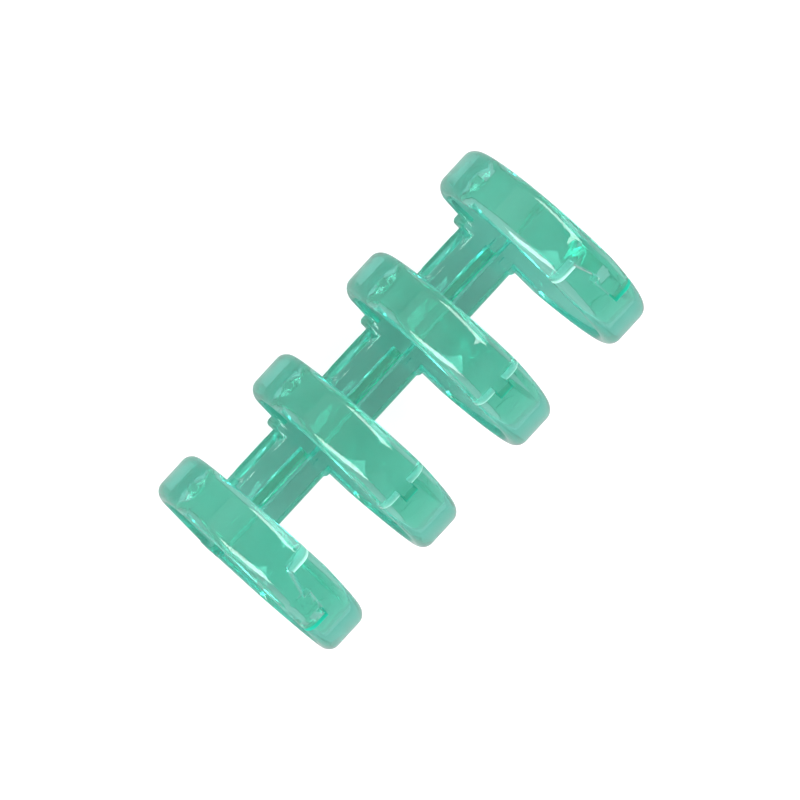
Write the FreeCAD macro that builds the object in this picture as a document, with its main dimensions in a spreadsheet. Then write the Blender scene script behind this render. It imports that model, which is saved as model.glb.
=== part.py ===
"""Four-ring opening binding comb for loose leaves, moulded in clear plastic, in millimetres.

Two mouldings hinge on each other along the spine: a rear half with a bead on a thin neck between
the rings, and a front half with an open socket that turns on that bead. Each half carries one
side of every ring. The two middle rings meet at a tab in a slot, and the two end rings
hold the comb shut with a barbed tongue.

Frame: +X along the spine, +Z from the flat spine up to the joints of the rings, and -Y towards
the half that opens. The origin is in the middle of the spine's flat underside.
"""
import FreeCAD, Part
import math
import os
import Sketcher

DIMENSIONS = {
    "pitch": (9.5, "from one ring to the next"),
    "ring_radius": (8.2, "outside of a ring"),
    "band": (1.2, "thickness of a ring's band"),
    "ring_width": (4.1, "width of a ring at its joint and at the spine"),
    "draft_depth": (0.2, "how much narrower each side is at the ring's widest point"),
    "centre_height": (6.1, "centre of the rings above the flat underside"),
    "base": (1.6, "thickness of the spine and of the flat part of the rings"),
    "outer_corner": (1.5, "radius between a ring's flat and its round outside"),
    "inner_corner": (0.6, "radius at the two corners inside a ring"),
    "edge_round": (0.85, "radius on the outer edges of a ring"),
    "bore_round": (0.28, "radius on the inner edges of a ring"),
    "seam": (0.04, "half the gap between the closed halves"),
    "tab_width": (1.0, "aligning tab of a middle ring"),
    "tab_reach": (0.7, "how far that tab stands into the rear half"),
    "tab_gap": (0.08, "play around the tab"),
    "front_reach": (2.14, "how far a front tongue stands past the joint"),
    "rear_reach": (1.86, "how far a rear tongue stands past the joint"),
    "front_tip_gap": (0.36, "room before the tip of a front tongue"),
    "rear_tip_gap": (0.2, "room before the tip of a rear tongue"),
    "head_edge": (0.01, "inner edge of a front tongue at the joint, outwards of the middle"),
    "head_tip": (0.29, "inner edge of a front tongue at its tip, outwards of the middle"),
    "barb_edge": (0.38, "outer edge of a rear tongue at the joint, outwards of the middle"),
    "barb_tip": (0.22, "outer edge of a rear tongue at its tip, inwards of the middle"),
    "flank_gap": (0.12, "play between the flanks of two tongues"),
    "front_strip": (2.4, "outer edge of the front strip from the hinge axis"),
    "rear_strip": (2.5, "outer edge of the rear strip from the hinge axis"),
    "front_lean": (0.42, "how far the front strip's outer face leans in, from its foot to its top"),
    "spine_round": (0.18, "radius on the long edges of the spine"),
    "rear_round": (0.4, "radius on the upper outer edge of the rear strip"),
    "hinge_height": (0.8, "hinge axis above the flat underside"),
    "barrel": (0.8, "outer radius of the hinge socket"),
    "barrel_gap": (0.08, "room around the outside of the socket"),
    "bead": (0.44, "radius of the hinge bead"),
    "bead_gap": (0.03, "running clearance around the bead"),
    "bead_length": (5.0, "length of each bead between two rings"),
    "neck": (0.4, "thickness of the neck that carries a bead"),
    "socket_length": (5.3, "length of each open socket between two rings"),
    "mouth_top": (34.0, "upper lip of the socket above level, in degrees"),
    "mouth_sweep": (128.0, "width of the socket's mouth, in degrees"),
    "opening": (60.0, "how far the comb opens, in degrees"),
    "rib_length": (4.1, "grip rib on the front strip, end to end"),
    "rib_height": (1.24, "height of a grip rib, along the leaning face"),
    "rib_middle": (0.842, "middle of a grip rib from the foot of the strip, along the leaning face"),
    "rib_proud": (0.18, "how far a grip rib stands out of the strip"),
    "rib_round": (0.15, "radius on the outer edge of a grip rib"),
    "gusset_proud": (0.45, "how far a gusset stands out of the side of a ring"),
    "gusset_round": (0.35, "radius on the standing edges of a gusset"),
    "front_gusset_far": (3.1, "outer end of a front gusset from the joint plane"),
    "front_gusset_near": (1.7, "inner end of a front gusset from the joint plane"),
    "rear_gusset_far": (2.4, "outer end of a rear gusset from the joint plane"),
    "rear_gusset_near": (0.95, "inner end of a rear gusset from the joint plane"),
    "rear_gusset_rise": (0.2, "how far a rear gusset stands above the spine"),
    "pin_mark": (1.035, "radius of an ejector pin's mark inside a ring"),
    "pin_mark_depth": (0.1, "depth of that mark"),
}

# The rings and the spans between them stand at these multiples of the pitch.
RING_COUNT = 4
RINGS = [index - (RING_COUNT - 1) / 2 for index in range(RING_COUNT)]
SPANS = [(left + right) / 2 for left, right in zip(RINGS, RINGS[1:])]
# Cutting blocks end outside the comb: past a ring's side, above, below, and past its round outside.
REACH = 3.0
ABOVE = 15.5
BELOW = -1.0
OUTSIDE = 9.5
# An edge belongs to a place when its middle is this close to it.
NEAR = 0.005

doc = FreeCAD.newDocument("binding_comb")
sheet = doc.addObject("Spreadsheet::Sheet", "sheet")
for row, (alias, (number, meaning)) in enumerate(DIMENSIONS.items(), start=1):
    sheet.set(f"A{row}", meaning)
    sheet.set(f"B{row}", str(number))
    sheet.setAlias(f"B{row}", alias)
doc.recompute()


def size(plain=0.0, **weights):
    """A length as a plain number plus weighted dimensions: its value and its expression."""
    value = plain + sum(weight * DIMENSIONS[name][0] for name, weight in weights.items())
    terms = [str(plain)] + [f"{weight} * sheet.{name}" for name, weight in weights.items()]
    return value, " + ".join(terms).replace("+ -", "- ")


def flipped(length):
    """The same length on the other side of zero."""
    value, expression = length
    return -value, f"-({expression})"


def leaning(point, angle):
    """A placement that turns about a line along X through a point of the YZ plane."""
    turn = FreeCAD.Rotation(FreeCAD.Vector(1, 0, 0), angle)
    return FreeCAD.Placement(point - turn.multVec(point), turn)


def bind(item, **lengths):
    """Tie properties of an object to the sheet."""
    for name, (_, expression) in lengths.items():
        item.setExpression(name, expression)
    return item


def at(item, x=None, y=None, z=None):
    """Place an object, each coordinate tied to the sheet."""
    for axis, length in (("x", x), ("y", y), ("z", z)):
        if length:
            item.setExpression(f"Placement.Base.{axis}", length[1])
    return item


def join(name, items):
    """One solid or group of solids from several."""
    fuse = doc.addObject("Part::MultiFuse", name)
    fuse.Shapes = items
    return fuse


def cut(name, base, tool):
    """The base less the tool."""
    result = doc.addObject("Part::Cut", name)
    result.Base = base
    result.Tool = tool
    return result


def common(name, base, tool):
    """What the base and the tool share."""
    result = doc.addObject("Part::Common", name)
    result.Base = base
    result.Tool = tool
    return result


def mirrored(name, source):
    """The source's mirror image in the YZ plane."""
    mirror = doc.addObject("Part::Mirroring", name)
    mirror.Source = source
    mirror.Normal = FreeCAD.Vector(1, 0, 0)
    return mirror


def block(name, x, y, z):
    """A box between two values along each axis."""
    return slab(name, x, x, y, z)


def slab(name, x_at_low_y, x_at_high_y, y, z):
    """A block whose extent along X changes evenly from its low Y to its high Y."""
    wedge = doc.addObject("Part::Wedge", name)
    return bind(
        wedge,
        Xmin=x_at_low_y[0], Xmax=x_at_low_y[1],
        X2min=x_at_high_y[0], X2max=x_at_high_y[1],
        Ymin=y[0], Ymax=y[1],
        Zmin=z[0], Zmax=z[1], Z2min=z[0], Z2max=z[1],
    )


def rod(name, radius, length, middle, mouth=False):
    """A cylinder along X about the hinge axis, or only the sector of the socket's mouth."""
    cylinder = doc.addObject("Part::Cylinder", name)
    turn = FreeCAD.Rotation(FreeCAD.Vector(0, 1, 0), 90)
    bind(cylinder, Radius=radius, Height=length)
    if mouth:
        low = DIMENSIONS["mouth_top"][0] - DIMENSIONS["mouth_sweep"][0]
        turn = turn.multiply(FreeCAD.Rotation(FreeCAD.Vector(0, 0, 1), low + 90))
        bind(cylinder, Angle=size(mouth_sweep=1))
    cylinder.Placement = FreeCAD.Placement(FreeCAD.Vector(0, 0, 0), turn)
    start = (middle[0] - length[0] / 2, f"{middle[1]} - ({length[1]}) / 2")
    return at(cylinder, x=start, z=size(hinge_height=1))


def origin_plane(body, role):
    """One of the body's own origin planes."""
    return next(item for item in body.Origin.OriginFeatures if item.Role == role)


def sketch_on(body, name, role):
    """A sketch on one of the body's origin planes."""
    sketch = body.newObject("Sketcher::SketchObject", name)
    sketch.AttachmentSupport = (origin_plane(body, role), [""])
    sketch.MapMode = "FlatFace"
    return sketch


def dimension(sketch, kind, *where, length):
    """A dimension of a sketch that is tied to the sheet."""
    index = sketch.addConstraint(Sketcher.Constraint(kind, *where, length[0]))
    sketch.setExpression(f"Constraints[{index}]", length[1])


def ring_outline(sketch, radius, floor, corner):
    """A circle on the ring's centre, cut flat at the floor, with the two corners rounded."""
    centre_z = DIMENSIONS["centre_height"][0]
    corner_z = floor[0] + corner[0]
    corner_y = math.sqrt((radius[0] - corner[0]) ** 2 - (centre_z - corner_z) ** 2)
    tilt = math.atan2(corner_z - centre_z, corner_y)
    normal = FreeCAD.Vector(0, 0, 1)
    centre = FreeCAD.Vector(0, centre_z, 0)
    right_corner = FreeCAD.Vector(corner_y, corner_z, 0)
    left_corner = FreeCAD.Vector(-corner_y, corner_z, 0)
    shapes = [
        Part.ArcOfCircle(Part.Circle(centre, normal, radius[0]), tilt, math.pi - tilt),
        Part.ArcOfCircle(Part.Circle(right_corner, normal, corner[0]), -math.pi / 2, tilt),
        Part.ArcOfCircle(Part.Circle(left_corner, normal, corner[0]), math.pi - tilt, 1.5 * math.pi),
        Part.LineSegment(FreeCAD.Vector(-corner_y, floor[0], 0), FreeCAD.Vector(corner_y, floor[0], 0)),
    ]
    arc, right, left, flat = sketch.addGeometry(shapes, False)
    for first, first_end, second, second_end in (
        (arc, 1, right, 2), (arc, 2, left, 1), (left, 2, flat, 1), (flat, 2, right, 1),
    ):
        sketch.addConstraint(Sketcher.Constraint("Tangent", first, first_end, second, second_end))
    sketch.addConstraint(Sketcher.Constraint("Horizontal", flat))
    sketch.addConstraint(Sketcher.Constraint("Equal", right, left))
    sketch.addConstraint(Sketcher.Constraint("PointOnObject", arc, 3, -2))
    dimension(sketch, "DistanceY", -1, 1, arc, 3, length=size(centre_height=1))
    dimension(sketch, "Radius", arc, length=radius)
    dimension(sketch, "Radius", right, length=corner)
    if floor[0]:
        dimension(sketch, "DistanceY", -1, 1, flat, 1, length=floor)
    else:
        sketch.addConstraint(Sketcher.Constraint("PointOnObject", flat, 1, -1))


def polygon(sketch, corners):
    """A closed outline through corners that are pairs of lengths tied to the sheet."""
    points = [FreeCAD.Vector(x[0], y[0], 0) for x, y in corners]
    following = points[1:] + points[:1]
    sides = [Part.LineSegment(start, end) for start, end in zip(points, following)]
    lines = sketch.addGeometry(sides, False)
    for line, next_line in zip(lines, list(lines[1:]) + [lines[0]]):
        sketch.addConstraint(Sketcher.Constraint("Coincident", line, 2, next_line, 1))
    for line, (x, y) in zip(lines, corners):
        place_end(sketch, line, x, y)


def place_end(sketch, line, x, y):
    """Fix the start of a line at two lengths from the sketch's origin."""
    for kind, length, axis in (("DistanceX", x, -2), ("DistanceY", y, -1)):
        if length[0]:
            dimension(sketch, kind, -1, 1, line, 1, length=length)
        else:
            sketch.addConstraint(Sketcher.Constraint("PointOnObject", line, 1, axis))


def pocket_through(body, name, sketch):
    """Cut a sketch right through the body, both ways."""
    before = body.Tip.Shape.Volume
    pocket = body.newObject("PartDesign::Pocket", name)
    pocket.Profile = sketch
    pocket.Type = "ThroughAll"
    pocket.SideType = "Symmetric"
    doc.recompute()
    if not pocket.Shape.Volume < before:
        raise RuntimeError(f"{name} cuts nothing")
    return pocket


def edge_names(shape, chosen):
    """Names of the edges whose middle point passes the test."""
    names = []
    for index, edge in enumerate(shape.Edges, start=1):
        middle = edge.valueAt((edge.FirstParameter + edge.LastParameter) / 2)
        if chosen(middle):
            names.append(f"Edge{index}")
    return names


def round_edges(body, name, radius, chosen):
    """Round the body's edges that pass the test."""
    base = body.Tip
    fillet = body.newObject("PartDesign::Fillet", name)
    fillet.Base = (base, edge_names(base.Shape, chosen))
    bind(fillet, Radius=radius)
    doc.recompute()
    return fillet


def ring_distance(point):
    """Distance of a point from the centre line of the rings."""
    return math.hypot(point.y, point.z - DIMENSIONS["centre_height"][0])


def half_ring():
    """The front half of one ring in the middle of the comb, with drafted sides and round edges."""
    body = doc.addObject("PartDesign::Body", "half_ring")
    outline = sketch_on(body, "ring_section", "YZ_Plane")
    ring_outline(outline, size(ring_radius=1), size(), size(outer_corner=1))
    ring_outline(outline, size(ring_radius=1, band=-1), size(base=1), size(inner_corner=1))
    pad = body.newObject("PartDesign::Pad", "ring_band")
    pad.Profile = outline
    pad.SideType = "Symmetric"
    bind(pad, Length=size(ring_width=1))
    doc.recompute()

    away = sketch_on(body, "rear_side", "XY_Plane")
    polygon(away, [
        (size(-REACH), size()), (size(REACH), size()),
        (size(REACH), size(OUTSIDE)), (size(-REACH), size(OUTSIDE)),
    ])
    pocket_through(body, "front_side_only", away)

    sides = sketch_on(body, "draft_of_sides", "XY_Plane")
    for sign in (-1, 1):
        polygon(sides, [
            (size(ring_width=sign / 2), size()),
            (size(sign * REACH), size()),
            (size(sign * REACH), size(ring_radius=-1)),
            (size(ring_width=sign / 2, draft_depth=-sign), size(ring_radius=-1)),
        ])
    pocket_through(body, "draft", sides)

    side = DIMENSIONS["ring_width"][0] / 2 - DIMENSIONS["draft_depth"][0] - NEAR
    bore = DIMENSIONS["ring_radius"][0] - DIMENSIONS["band"][0] + NEAR
    base = DIMENSIONS["base"][0] - NEAR

    def on_side(point):
        return abs(point.x) > side and point.y < -NEAR

    def inside(point):
        return ring_distance(point) < bore and point.z > base

    round_edges(body, "outer_rounds", size(edge_round=1),
                lambda point: on_side(point) and not inside(point))
    round_edges(body, "inner_rounds", size(bore_round=1),
                lambda point: on_side(point) and inside(point))
    return body


def moved(name, source, place):
    """The source moved along X by a length tied to the sheet."""
    link = doc.addObject("App::Link", name)
    link.LinkedObject = source
    link.LinkTransform = True
    return at(link, x=place)


def repeated(name, source, places):
    """Copies of the source, moved along X to each place in units of the pitch."""
    return join(name, [
        moved(f"{name}_{index}", source, size(pitch=place))
        for index, place in enumerate(places, start=1)
    ])


def ring_rows():
    """All the rings whole, before they are parted."""
    front = half_ring()
    rear = doc.addObject("Part::Mirroring", "rear_half_ring")
    rear.Source = front
    rear.Normal = FreeCAD.Vector(0, 1, 0)
    return repeated("rings", join("whole_ring", [front, rear]), RINGS)


UPPER = (size(centre_height=1), size(ABOVE))
LOWER = (size(BELOW), size(centre_height=1))
FRONT_LIMIT = size(-OUTSIDE)
REAR_LIMIT = size(OUTSIDE)
ACROSS = (size(-REACH), size(REACH))


def end_ring_regions():
    """Where the front half, its tongue and the rear half lie around the joint of the end ring at -X."""
    neck_near = size(barb_edge=-1, flank_gap=-1)
    neck_far = size(barb_tip=1, flank_gap=-1)
    rear_tip = size(rear_reach=-1, rear_tip_gap=-1)
    front_shoulder = size(front_reach=1, front_tip_gap=1)
    front = block("end_front_region", ACROSS, (FRONT_LIMIT, rear_tip), UPPER)
    tongue = [
        slab("tongue_neck", (ACROSS[0], neck_far), (ACROSS[0], neck_near), (rear_tip, size(seam=1)), UPPER),
        slab("tongue_head", (ACROSS[0], size(head_edge=-1)), (ACROSS[0], size(head_tip=-1)),
             (size(seam=1), size(front_reach=1)), UPPER),
    ]
    rear = [
        block("end_rear_region", ACROSS, (front_shoulder, REAR_LIMIT), UPPER),
        slab("rear_beside_head", (size(head_edge=-1, flank_gap=1), ACROSS[1]),
             (size(head_tip=-1, flank_gap=1), ACROSS[1]), (size(seam=-1), front_shoulder), UPPER),
        slab("rear_barb", (size(barb_tip=1), ACROSS[1]), (size(barb_edge=-1), ACROSS[1]),
             (size(rear_reach=-1), size(seam=-1)), UPPER),
    ]
    return front, join("end_tongue_region", tongue), join("end_rear_regions", rear)


def middle_ring_regions():
    """Where the front and rear halves lie around the joint of a middle ring."""
    front = [
        block("middle_front_region", ACROSS, (FRONT_LIMIT, size(seam=-1)), UPPER),
        block("aligning_tab", (size(tab_width=-0.5), size(tab_width=0.5)),
              (size(seam=-2), size(tab_reach=1)), UPPER),
    ]
    slot = block("tab_slot", (size(tab_width=-0.5, tab_gap=-1), size(tab_width=0.5, tab_gap=1)),
                 (size(seam=-2), size(tab_reach=1, tab_gap=1)), UPPER)
    rear = block("middle_rear_region", ACROSS, (size(seam=1), REAR_LIMIT), UPPER)
    return join("middle_front_regions", front), cut("middle_rear_regions", rear, slot)


def both_ends(name, region):
    """A region at the end ring at -X, and its mirror image at the end ring at +X."""
    left = moved(f"{name}_left", region, size(pitch=RINGS[0]))
    right = moved(f"{name}_right", mirrored(f"{name}_mirrored", region), size(pitch=RINGS[-1]))
    return left, right


def spine_strip(name, foot, top, rounded):
    """A strip of the spine between the end rings, from the hinge axis to its foot and its top edge."""
    body = doc.addObject("PartDesign::Body", name)
    section = sketch_on(body, f"{name}_section", "YZ_Plane")
    polygon(section, [
        (size(), size()), (foot, size()), (top, size(base=1)), (size(), size(base=1)),
    ])
    pad = body.newObject("PartDesign::Pad", f"{name}_length")
    pad.Profile = section
    pad.SideType = "Symmetric"
    bind(pad, Length=size(pitch=RING_COUNT - 1))
    doc.recompute()
    for part_of_name, radius, edge, level in rounded:
        round_edges(body, f"{name}_{part_of_name}", radius,
                    lambda point, edge=edge, level=level: abs(point.x) < NEAR
                    and abs(point.y - edge[0]) < NEAR and abs(point.z - level[0]) < NEAR)
    return body


def grip_ribs():
    """Round-ended ribs on the leaning face of the front strip, one between each two rings.

    A rib is drawn upright, then leans with the face, and what reaches past the strip's body is cut off.
    """
    body = doc.addObject("PartDesign::Body", "grip_rib")
    outline = sketch_on(body, "rib_outline", "XZ_Plane")
    radius = size(rib_height=0.5)
    centre_x = size(rib_length=0.5, rib_height=-0.5)
    middle = size(rib_middle=1)
    turn = math.pi / 2
    normal = FreeCAD.Vector(0, 0, 1)
    left = FreeCAD.Vector(-centre_x[0], middle[0], 0)
    right = FreeCAD.Vector(centre_x[0], middle[0], 0)
    up = FreeCAD.Vector(0, radius[0], 0)
    shapes = [
        Part.ArcOfCircle(Part.Circle(right, normal, radius[0]), -turn, turn),
        Part.LineSegment(right + up, left + up),
        Part.ArcOfCircle(Part.Circle(left, normal, radius[0]), turn, 3 * turn),
        Part.LineSegment(left - up, right - up),
    ]
    east, top, west, bottom = outline.addGeometry(shapes, False)
    for first, second in ((east, top), (top, west), (west, bottom), (bottom, east)):
        outline.addConstraint(Sketcher.Constraint("Tangent", first, 2, second, 1))
    outline.addConstraint(Sketcher.Constraint("Horizontal", top))
    dimension(outline, "Radius", east, length=radius)
    dimension(outline, "DistanceX", -1, 1, east, 3, length=centre_x)
    dimension(outline, "DistanceY", -1, 1, east, 3, length=middle)
    dimension(outline, "DistanceX", -1, 1, west, 3, length=flipped(centre_x))
    pad = body.newObject("PartDesign::Pad", "rib_body")
    pad.Profile = outline
    outer = size(front_strip=1, rib_proud=1)
    bind(pad, Length=outer)
    doc.recompute()
    round_edges(body, "rib_edge_round", size(rib_round=1),
                lambda point: abs(point.y + outer[0]) < NEAR)
    foot = FreeCAD.Vector(0, -DIMENSIONS["front_strip"][0], 0)
    lean = -math.degrees(math.atan2(DIMENSIONS["front_lean"][0], DIMENSIONS["base"][0]))
    body.Placement = leaning(foot, lean)
    behind = block("behind_rib", ACROSS, (size(front_strip=-1, front_lean=1.5), size(REACH)),
                   (size(BELOW), size(REACH)))
    return repeated("grip_ribs", cut("rib_outside", body, behind), SPANS)


def gussets(name, near, far, top):
    """Small blocks on the side of three ring roots, at the +X end of each span but the last."""
    body = doc.addObject("PartDesign::Body", name)
    outline = sketch_on(body, f"{name}_outline", "XY_Plane")
    side = size(ring_width=0.5, draft_depth=-1)
    proud = size(ring_width=0.5, gusset_proud=1)
    polygon(outline, [(side, near), (proud, near), (proud, far), (side, far)])
    pad = body.newObject("PartDesign::Pad", f"{name}_height")
    pad.Profile = outline
    bind(pad, Length=top)
    doc.recompute()
    round_edges(body, f"{name}_rounds", size(gusset_round=1),
                lambda point: abs(point.x - proud[0]) < NEAR < point.z)
    return repeated(f"{name}_row", body, RINGS[:-1])


def pin_marks(name, sign):
    """Shallow round recesses inside each ring at its widest point, where ejector pins pushed."""
    floor = size(ring_radius=sign, band=-sign, pin_mark_depth=sign)
    marks = []
    for index, place in enumerate(RINGS, start=1):
        mark = doc.addObject("Part::Cylinder", f"{name}_{index}")
        mark.Placement.Rotation = FreeCAD.Rotation(FreeCAD.Vector(1, 0, 0), 90 * sign)
        bind(mark, Radius=size(pin_mark=1), Height=size(band=1))
        at(mark, x=size(pitch=place), y=floor, z=size(centre_height=1))
        marks.append(mark)
    return join(name, marks)


def whole_length(name, radius):
    """A rod about the hinge axis through the full width of every ring root."""
    return rod(name, radius, size(pitch=RING_COUNT - 1, ring_width=1), size())


def front_half(rings, end_region, middle_region):
    """The half that turns: front half rings, front strip, sockets, ribs and gussets."""
    roots = block("front_roots", (size(pitch=-2), size(pitch=2)), (FRONT_LIMIT, size()), LOWER)
    middle_rings = repeated("middle_fronts", middle_region, RINGS[1:-1])
    regions = join("front_regions", [*both_ends("end_front", end_region), middle_rings, roots])
    half_rings = common("front_half_rings", rings, regions)
    foot = size(front_strip=-1)
    top = size(front_strip=-1, front_lean=1)
    strip = spine_strip("front_strip", foot, top, [
        ("round_below", size(spine_round=1), foot, size()),
        ("round_above", size(spine_round=1), top, size(base=1)),
    ])
    solid = join("front_solid", [
        half_rings,
        strip,
        whole_length("barrel", size(barrel=1)),
        grip_ribs(),
        gussets("front_gussets", size(front_gusset_near=-1), size(front_gusset_far=-1), size(base=1)),
    ])
    hollows = []
    for index, place in enumerate(SPANS, start=1):
        centre = size(pitch=place)
        hollows.append(rod(f"socket_bore_{index}", size(bead=1, bead_gap=1),
                           size(socket_length=1), centre))
        hollows.append(rod(f"socket_mouth_{index}", size(barrel=1, barrel_gap=1),
                           size(socket_length=1), centre, mouth=True))
    hollows.append(pin_marks("front_pin_marks", -1))
    return cut("front_half_comb", solid, join("front_hollows", hollows))


def rear_half(rings, end_region, middle_region):
    """The half that stays: rear half rings, rear strip, beads on their necks and gussets."""
    roots = block("rear_roots", (size(pitch=-2), size(pitch=2)), (size(), REAR_LIMIT), LOWER)
    middle_rings = repeated("middle_rears", middle_region, RINGS[1:-1])
    regions = join("rear_regions", [*both_ends("end_rear", end_region), middle_rings, roots])
    half_rings = common("rear_half_rings", rings, regions)
    edge = size(rear_strip=1)
    strip = spine_strip("rear_strip", edge, edge, [
        ("round_below", size(spine_round=1), edge, size()),
        ("round_above", size(rear_round=1), edge, size(base=1)),
    ])
    solid = join("rear_solid", [
        half_rings,
        strip,
        gussets("rear_gussets", size(rear_gusset_near=1), size(rear_gusset_far=1),
                size(base=1, rear_gusset_rise=1)),
    ])
    cleared = cut("rear_cleared", solid, join("rear_hollows", [
        whole_length("barrel_room", size(barrel=1, barrel_gap=1)),
        swing_room(),
        pin_marks("rear_pin_marks", 1),
    ]))
    beads = []
    for index, place in enumerate(SPANS, start=1):
        centre = size(pitch=place)
        beads.append(rod(f"bead_{index}", size(bead=1), size(bead_length=1), centre))
        beads.append(block(
            f"neck_{index}",
            (size(pitch=place, bead_length=-0.5), size(pitch=place, bead_length=0.5)),
            (size(), size(barrel=1, barrel_gap=2)),
            (size(hinge_height=1, neck=-0.5), size(hinge_height=1, neck=0.5)),
        ))
    return join("rear_half_comb", [cleared] + beads)


def swing_room():
    """Room under the rear half for the front half's underside when the comb is open."""
    room = doc.addObject("Part::Box", "swing_room")
    bind(room, Length=size(pitch=RING_COUNT), Width=size(OUTSIDE), Height=size(barrel=1, barrel_gap=1))
    opening = DIMENSIONS["opening"][0]
    axis = FreeCAD.Vector(1, 0, 0)
    turn = FreeCAD.Rotation(axis, opening)
    low = -(DIMENSIONS["barrel"][0] + DIMENSIONS["barrel_gap"][0])
    corner = turn.multVec(FreeCAD.Vector(0, -OUTSIDE, low))
    corner.x = -RING_COUNT / 2 * DIMENSIONS["pitch"][0]
    corner.z += DIMENSIONS["hinge_height"][0]
    room.Placement = FreeCAD.Placement(corner, turn)
    return room


def check_document():
    """Stop if any object failed to recompute."""
    doc.recompute()
    for item in doc.Objects:
        if "Invalid" in item.State or "Error" in item.State:
            raise RuntimeError(f"{item.Name} failed: {item.State}")


def write(item, label):
    """Name a finished sub-part, check its solid and write its STEP file."""
    item.Label = label
    shape = item.Shape
    if shape.isNull() or not shape.isValid():
        raise RuntimeError(f"{label} has no valid shape")
    if len(shape.Solids) != 1:
        raise RuntimeError(f"{label} has {len(shape.Solids)} solids")
    print(f"{label}: {shape.Volume:.2f} mm3")
    shape.exportStep(f"parts/{label}.step")


def main():
    """Build the comb and write its nodes."""
    rings = ring_rows()
    end_front, end_tongue, end_rear = end_ring_regions()
    middle_front, middle_rear = middle_ring_regions()
    front = front_half(rings, end_front, middle_front)
    rear = rear_half(rings, end_rear, middle_rear)
    left_region, right_region = both_ends("tongue", end_tongue)
    left_tongue = common("left_tongue", rings, left_region)
    right_tongue = common("right_tongue", rings, right_region)
    check_document()
    os.makedirs("parts", exist_ok=True)
    write(rear, "rear_half_comb")
    write(front, "front_half_comb")
    write(left_tongue, "front_latch_tongue_left")
    write(right_tongue, "front_latch_tongue_right")


main()
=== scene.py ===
"""Looks of the clear teal binding comb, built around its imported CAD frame."""
import math

import bpy
from mathutils import Matrix, Vector


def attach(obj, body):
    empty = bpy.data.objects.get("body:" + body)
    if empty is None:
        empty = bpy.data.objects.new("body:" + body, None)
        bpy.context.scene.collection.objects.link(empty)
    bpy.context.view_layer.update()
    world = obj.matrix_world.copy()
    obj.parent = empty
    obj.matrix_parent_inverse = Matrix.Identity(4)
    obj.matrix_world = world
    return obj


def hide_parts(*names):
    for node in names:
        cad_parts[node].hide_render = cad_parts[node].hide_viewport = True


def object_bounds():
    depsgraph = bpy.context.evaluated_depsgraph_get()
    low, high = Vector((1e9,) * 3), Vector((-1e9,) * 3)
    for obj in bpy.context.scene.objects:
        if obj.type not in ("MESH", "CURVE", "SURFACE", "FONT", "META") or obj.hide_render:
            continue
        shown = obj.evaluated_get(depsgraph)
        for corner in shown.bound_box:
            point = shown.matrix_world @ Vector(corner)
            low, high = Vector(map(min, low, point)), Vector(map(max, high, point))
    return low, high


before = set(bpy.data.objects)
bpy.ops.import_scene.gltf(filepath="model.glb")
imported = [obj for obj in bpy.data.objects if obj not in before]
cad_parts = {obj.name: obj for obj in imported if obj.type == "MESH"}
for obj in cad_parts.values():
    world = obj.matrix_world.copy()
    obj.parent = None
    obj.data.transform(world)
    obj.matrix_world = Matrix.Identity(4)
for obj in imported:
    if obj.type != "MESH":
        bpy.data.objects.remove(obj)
CAD_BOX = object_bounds()

MM = 0.001
LOW, HIGH = (Vector(corner) for corner in CAD_BOX)
MIDDLE = (LOW + HIGH) / 2

# the camera, at the photo's angle
AZIMUTH = math.radians(7.97)
ELEVATION = math.radians(58.3)
ROLL = math.radians(47.32)
DISTANCE = 464.6 * MM
LENS = 305.4
SENSOR = 36.0
SHIFT = (-0.001, -0.0008)
NEAREST = 10.0 * MM
FARTHEST = 20.0
TARGET = Vector((MIDDLE.x, MIDDLE.y, 6.0 * MM))

# The open front half reaches 4.8 mm below the closed comb, so the floor lies lower than that.
FLOOR_DROP = 6.0 * MM
FLOOR_WIDTH = 3.0

# The plastic's skin has a tint that drifts between two, and its depth has another.
TINT_DARK = (0.38, 0.88, 0.72, 1.0)
TINT_PALE = (0.54, 0.94, 0.82, 1.0)
DEPTH_TINT = (0.0, 0.96, 0.91, 1.0)
WHITE = (1.0, 1.0, 1.0, 1.0)
REFRACTION = 1.58
WAVE_DEPTH = 0.1 * MM
SHARP_EDGE = math.radians(35)

# The joints of the rings lie above this height and within this reach of the middle.
CROWN_BOTTOM = 11.0 * MM
JOINT_REACH = 3.0 * MM

# Their faces are rough and nearly opaque. Up to the middle of the crown they carry a painted highlight
# in a pale colour, and past it painted shade in deeper teal.
PAST_MIDDLE = 0.2 * MM
FROSTED_ROUGHNESS = 0.45
FROSTED_CLEARNESS = 0.1
# Painted highlight colours of the front and rear joint faces, then the painted shade past the middle.
FRONT_JOINT_HIGHLIGHT = (0.88, 1.0, 0.97, 1.0)
REAR_JOINT_HIGHLIGHT = (0.62, 0.96, 0.87, 1.0)
PAINTED_SHADE_TEAL = (0.02, 0.68, 0.5, 1.0)


def camera_matrix(target, azimuth, elevation, roll, distance):
    """The camera looks at the target with the spine turned by the roll from level."""
    back = Vector((
        math.sin(azimuth) * math.cos(elevation),
        -math.cos(azimuth) * math.cos(elevation),
        math.sin(elevation),
    ))
    along = Vector((-1, 0, 0))
    along = (along - along.dot(back) * back).normalized()
    down = along.cross(back)
    right = math.cos(roll) * along + math.sin(roll) * down
    up = math.sin(roll) * along - math.cos(roll) * down
    place = target + distance * back
    turn = Matrix((right, up, back)).transposed().to_4x4()
    return Matrix.Translation(place) @ turn


def add_camera():
    """The camera that looks at the comb as the photo does."""
    data = bpy.data.cameras.new("camera")
    data.lens = LENS
    data.sensor_width = SENSOR
    data.shift_x, data.shift_y = SHIFT
    data.clip_start = NEAREST
    data.clip_end = FARTHEST
    camera = bpy.data.objects.new("camera", data)
    bpy.context.scene.collection.objects.link(camera)
    camera.matrix_world = camera_matrix(TARGET, AZIMUTH, ELEVATION, ROLL, DISTANCE)
    bpy.context.scene.camera = camera


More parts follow.
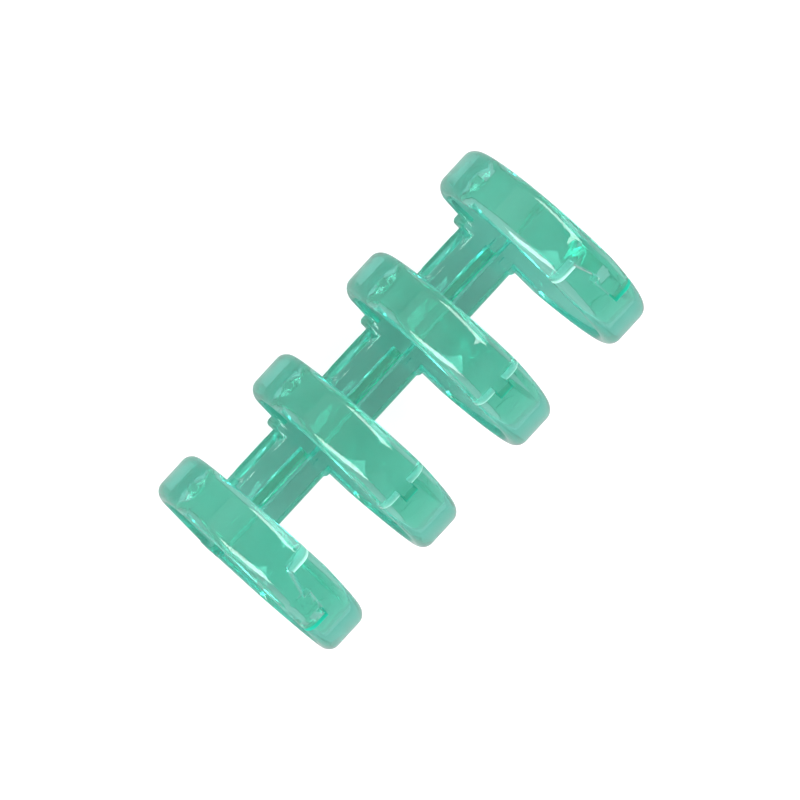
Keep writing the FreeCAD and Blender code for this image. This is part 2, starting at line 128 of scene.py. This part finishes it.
def new_material(name):
    """An empty node material, with its nodes and links."""
    material = bpy.data.materials.new(name)
    material.use_nodes = True
    nodes = material.node_tree.nodes
    links = material.node_tree.links
    nodes.clear()
    return material, nodes, links


def calculate(nodes, links, operation, *values):
    """The output of a Math node whose inputs are numbers or other nodes' outputs."""
    node = nodes.new("ShaderNodeMath")
    node.operation = operation
    for socket, value in zip(node.inputs, values):
        if isinstance(value, (int, float)):
            socket.default_value = value
        else:
            links.new(value, socket)
    return node.outputs["Value"]


def spread(nodes, links, value, source, target):
    """The value moved from one range to another and held inside it."""
    node = nodes.new("ShaderNodeMapRange")
    node.inputs["From Min"].default_value, node.inputs["From Max"].default_value = source
    node.inputs["To Min"].default_value, node.inputs["To Max"].default_value = target
    links.new(value, node.inputs["Value"])
    return node.outputs["Result"]


def blend_number(nodes, links, mask, low, high):
    """From a node's output where the mask is zero to a plain number where it is one."""
    node = nodes.new("ShaderNodeMix")
    links.new(mask, node.inputs["Factor"])
    links.new(low, node.inputs["A"])
    node.inputs["B"].default_value = high
    return node.outputs["Result"]


def blend_colour(nodes, links, mask, low, high):
    """From one colour where the mask is zero to another where it is one."""
    node = nodes.new("ShaderNodeMix")
    node.data_type = "RGBA"
    links.new(mask, node.inputs["Factor"])
    for socket, colour in ((node.inputs["A"], low), (node.inputs["B"], high)):
        if isinstance(colour, tuple):
            socket.default_value = colour
        else:
            links.new(colour, socket)
    return node.outputs["Result"]


def latch_faces(nodes, links, place):
    """Two masks: one on the upright faces of the ring joints at the crown, which carries a painted
    highlight, and one past the middle, which carries painted shade.
    """
    facing = nodes.new("ShaderNodeSeparateXYZ")
    links.new(place.outputs["Normal"], facing.inputs["Vector"])
    spot = nodes.new("ShaderNodeSeparateXYZ")
    links.new(place.outputs["Object"], spot.inputs["Vector"])
    upright = calculate(nodes, links, "ABSOLUTE", facing.outputs["Y"])
    upright = spread(nodes, links, upright, (0.6, 0.85), (0.0, 1.0))
    high_up = calculate(nodes, links, "GREATER_THAN", spot.outputs["Z"], CROWN_BOTTOM)
    from_joint = calculate(nodes, links, "ABSOLUTE", spot.outputs["Y"])
    at_joint = calculate(nodes, links, "LESS_THAN", from_joint, JOINT_REACH)
    near_joint = calculate(nodes, links, "MULTIPLY", high_up, at_joint)
    matt_and_highlight = calculate(nodes, links, "MULTIPLY", upright, near_joint)
    return matt_and_highlight, calculate(nodes, links, "GREATER_THAN", spot.outputs["Y"], PAST_MIDDLE)


def noise(nodes, links, place, scale, detail):
    """Noise that is fixed in the piece."""
    node = nodes.new("ShaderNodeTexNoise")
    node.inputs["Scale"].default_value = scale
    node.inputs["Detail"].default_value = detail
    links.new(place.outputs["Object"], node.inputs["Vector"])
    return node.outputs["Fac"]


def tinted_depth(nodes, links):
    """The inside of the plastic: it takes the red out of the light, and is slightly cloudy."""
    absorption = nodes.new("ShaderNodeVolumeAbsorption")
    absorption.inputs["Color"].default_value = DEPTH_TINT
    absorption.inputs["Density"].default_value = 300.0
    cloud = nodes.new("ShaderNodeVolumeScatter")
    cloud.inputs["Color"].default_value = WHITE
    cloud.inputs["Density"].default_value = 120.0
    cloud.inputs["Anisotropy"].default_value = 0.4
    both = nodes.new("ShaderNodeAddShader")
    links.new(absorption.outputs["Volume"], both.inputs[0])
    links.new(cloud.outputs["Volume"], both.inputs[1])
    return both.outputs["Shader"]


def clear_plastic(name, joint_highlight_colour):
    """Tinted clear plastic, with a nearly polished, faintly wavy skin and rough joint faces painted pale
    as a highlight, with painted shade past the middle.
    """
    material, nodes, links = new_material(name)
    output = nodes.new("ShaderNodeOutputMaterial")
    shader = nodes.new("ShaderNodeBsdfPrincipled")
    shader.inputs["IOR"].default_value = REFRACTION
    links.new(shader.outputs["BSDF"], output.inputs["Surface"])
    links.new(tinted_depth(nodes, links), output.inputs["Volume"])

    place = nodes.new("ShaderNodeTexCoord")
    flow = noise(nodes, links, place, 260.0, 2.0)
    fine = noise(nodes, links, place, 2600.0, 4.0)
    matt_and_highlight, past_middle = latch_faces(nodes, links, place)

    gloss = spread(nodes, links, fine, (0.35, 0.75), (0.01, 0.05))
    roughness = blend_number(nodes, links, matt_and_highlight, gloss, FROSTED_ROUGHNESS)
    links.new(roughness, shader.inputs["Roughness"])
    clear = spread(nodes, links, flow, (0.3, 0.7), (0.96, 0.99))
    clearness = blend_number(nodes, links, matt_and_highlight, clear, FROSTED_CLEARNESS)
    shader.inputs["Transmission Weight"].default_value = 0.97
    links.new(clearness, shader.inputs["Transmission Weight"])

    tint = blend_colour(nodes, links, flow, TINT_DARK, TINT_PALE)
    # Painted highlight on the joint faces up to the middle, and painted shade in deep teal past it.
    painted_joint_light = blend_colour(nodes, links, past_middle, joint_highlight_colour, PAINTED_SHADE_TEAL)
    tint = blend_colour(nodes, links, matt_and_highlight, tint, painted_joint_light)
    links.new(tint, shader.inputs["Base Color"])

    waves = nodes.new("ShaderNodeBump")
    waves.inputs["Strength"].default_value = 0.35
    waves.inputs["Distance"].default_value = WAVE_DEPTH
    links.new(flow, waves.inputs["Height"])
    links.new(waves.outputs["Normal"], shader.inputs["Normal"])
    return material


def pale_floor():
    """A sheet that looks evenly white to the camera, and sends less light than that into the plastic."""
    material, nodes, links = new_material("pale_floor")
    output = nodes.new("ShaderNodeOutputMaterial")
    shader = nodes.new("ShaderNodeBsdfPrincipled")
    shader.inputs["Base Color"].default_value = (0.36, 0.36, 0.36, 1.0)
    shader.inputs["Roughness"].default_value = 0.8
    shader.inputs["Emission Color"].default_value = WHITE
    path = nodes.new("ShaderNodeLightPath")
    glow = spread(nodes, links, path.outputs["Is Camera Ray"], (0.0, 1.0), (0.03, 0.74))
    links.new(glow, shader.inputs["Emission Strength"])
    links.new(shader.outputs["BSDF"], output.inputs["Surface"])
    return material


def add_floor():
    """The floor, a square below the comb."""
    half = FLOOR_WIDTH / 2
    mesh = bpy.data.meshes.new("floor")
    corners = [(-half, -half, 0), (half, -half, 0), (half, half, 0), (-half, half, 0)]
    mesh.from_pydata(corners, [], [(0, 1, 2, 3)])
    floor = bpy.data.objects.new("floor", mesh)
    bpy.context.scene.collection.objects.link(floor)
    floor.location.z = LOW.z - FLOOR_DROP
    floor.data.materials.append(pale_floor())


def add_softbox(name, place, width, height, power):
    """A tall light that faces the comb."""
    data = bpy.data.lights.new(name, "AREA")
    data.shape = "RECTANGLE"
    data.size = width
    data.size_y = height
    data.energy = power
    light = bpy.data.objects.new(name, data)
    bpy.context.scene.collection.objects.link(light)
    light.location = place
    light.rotation_euler = (TARGET - place).to_track_quat("-Z", "Y").to_euler()


def add_light():
    """Bright walls, a dimmer ceiling, and a soft box on each side of the comb."""
    world = bpy.data.worlds.new("studio")
    bpy.context.scene.world = world
    world.use_nodes = True
    nodes = world.node_tree.nodes
    links = world.node_tree.links
    background = nodes["Background"]
    direction = nodes.new("ShaderNodeTexCoord")
    height = nodes.new("ShaderNodeSeparateXYZ")
    links.new(direction.outputs["Generated"], height.inputs["Vector"])
    ramp = nodes.new("ShaderNodeValToRGB")
    low, high = ramp.color_ramp.elements
    low.position, low.color = 0.15, WHITE
    high.position, high.color = 0.8, (0.45, 0.45, 0.45, 1.0)
    links.new(height.outputs["Z"], ramp.inputs["Fac"])
    links.new(ramp.outputs["Color"], background.inputs["Color"])
    background.inputs["Strength"].default_value = 1.0
    add_softbox("left_softbox", Vector((0.46, -0.28, 0.42)), width=0.28, height=0.9, power=6.6)
    add_softbox("right_softbox", Vector((-0.41, -0.3, 0.43)), width=0.22, height=0.85, power=4.2)


def finish_skin(item, material):
    """Give a piece its one material, and smooth shading between its sharp edges."""
    item.data.materials.clear()
    item.data.materials.append(material)
    item.data.shade_smooth()
    item.data.set_sharp_from_angle(angle=SHARP_EDGE)


def joined_moulding(name, members):
    """One closed moulding from CAD nodes that touch face to face."""
    nodes = [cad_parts[member] for member in members]
    piece = nodes[0].copy()
    piece.data = nodes[0].data.copy()
    piece.name = name
    piece.parent = None
    for key in list(piece.keys()):
        del piece[key]
    bpy.context.scene.collection.objects.link(piece)
    for node in nodes[1:]:
        union = piece.modifiers.new(node.name, "BOOLEAN")
        union.operation = "UNION"
        union.solver = "EXACT"
        union.object = node
    bpy.context.view_layer.update()
    graph = bpy.context.evaluated_depsgraph_get()
    mesh = bpy.data.meshes.new_from_object(piece.evaluated_get(graph))
    mesh.name = name
    piece.modifiers.clear()
    piece.data = mesh
    return piece


def dress():
    """Dress both mouldings: the rear one as it is in the frame, the front one joined from its nodes."""
    finish_skin(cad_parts["rear_half_comb"], clear_plastic("clear_teal_rear", REAR_JOINT_HIGHLIGHT))
    members = ["front_half_comb", "front_latch_tongue_left", "front_latch_tongue_right"]
    front = joined_moulding("front_half_moulding", members)
    finish_skin(front, clear_plastic("clear_teal_front", FRONT_JOINT_HIGHLIGHT))
    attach(front, "front_half")
    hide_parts(*members)


def follow_light():
    """Enough bounces for light to find its way through the plastic, and plain colours."""
    scene = bpy.context.scene
    scene.cycles.max_bounces = 32
    scene.cycles.glossy_bounces = 16
    scene.cycles.transmission_bounces = 32
    scene.cycles.volume_bounces = 4
    scene.view_settings.view_transform = "Standard"


follow_light()
add_camera()
add_floor()
add_light()
dress()
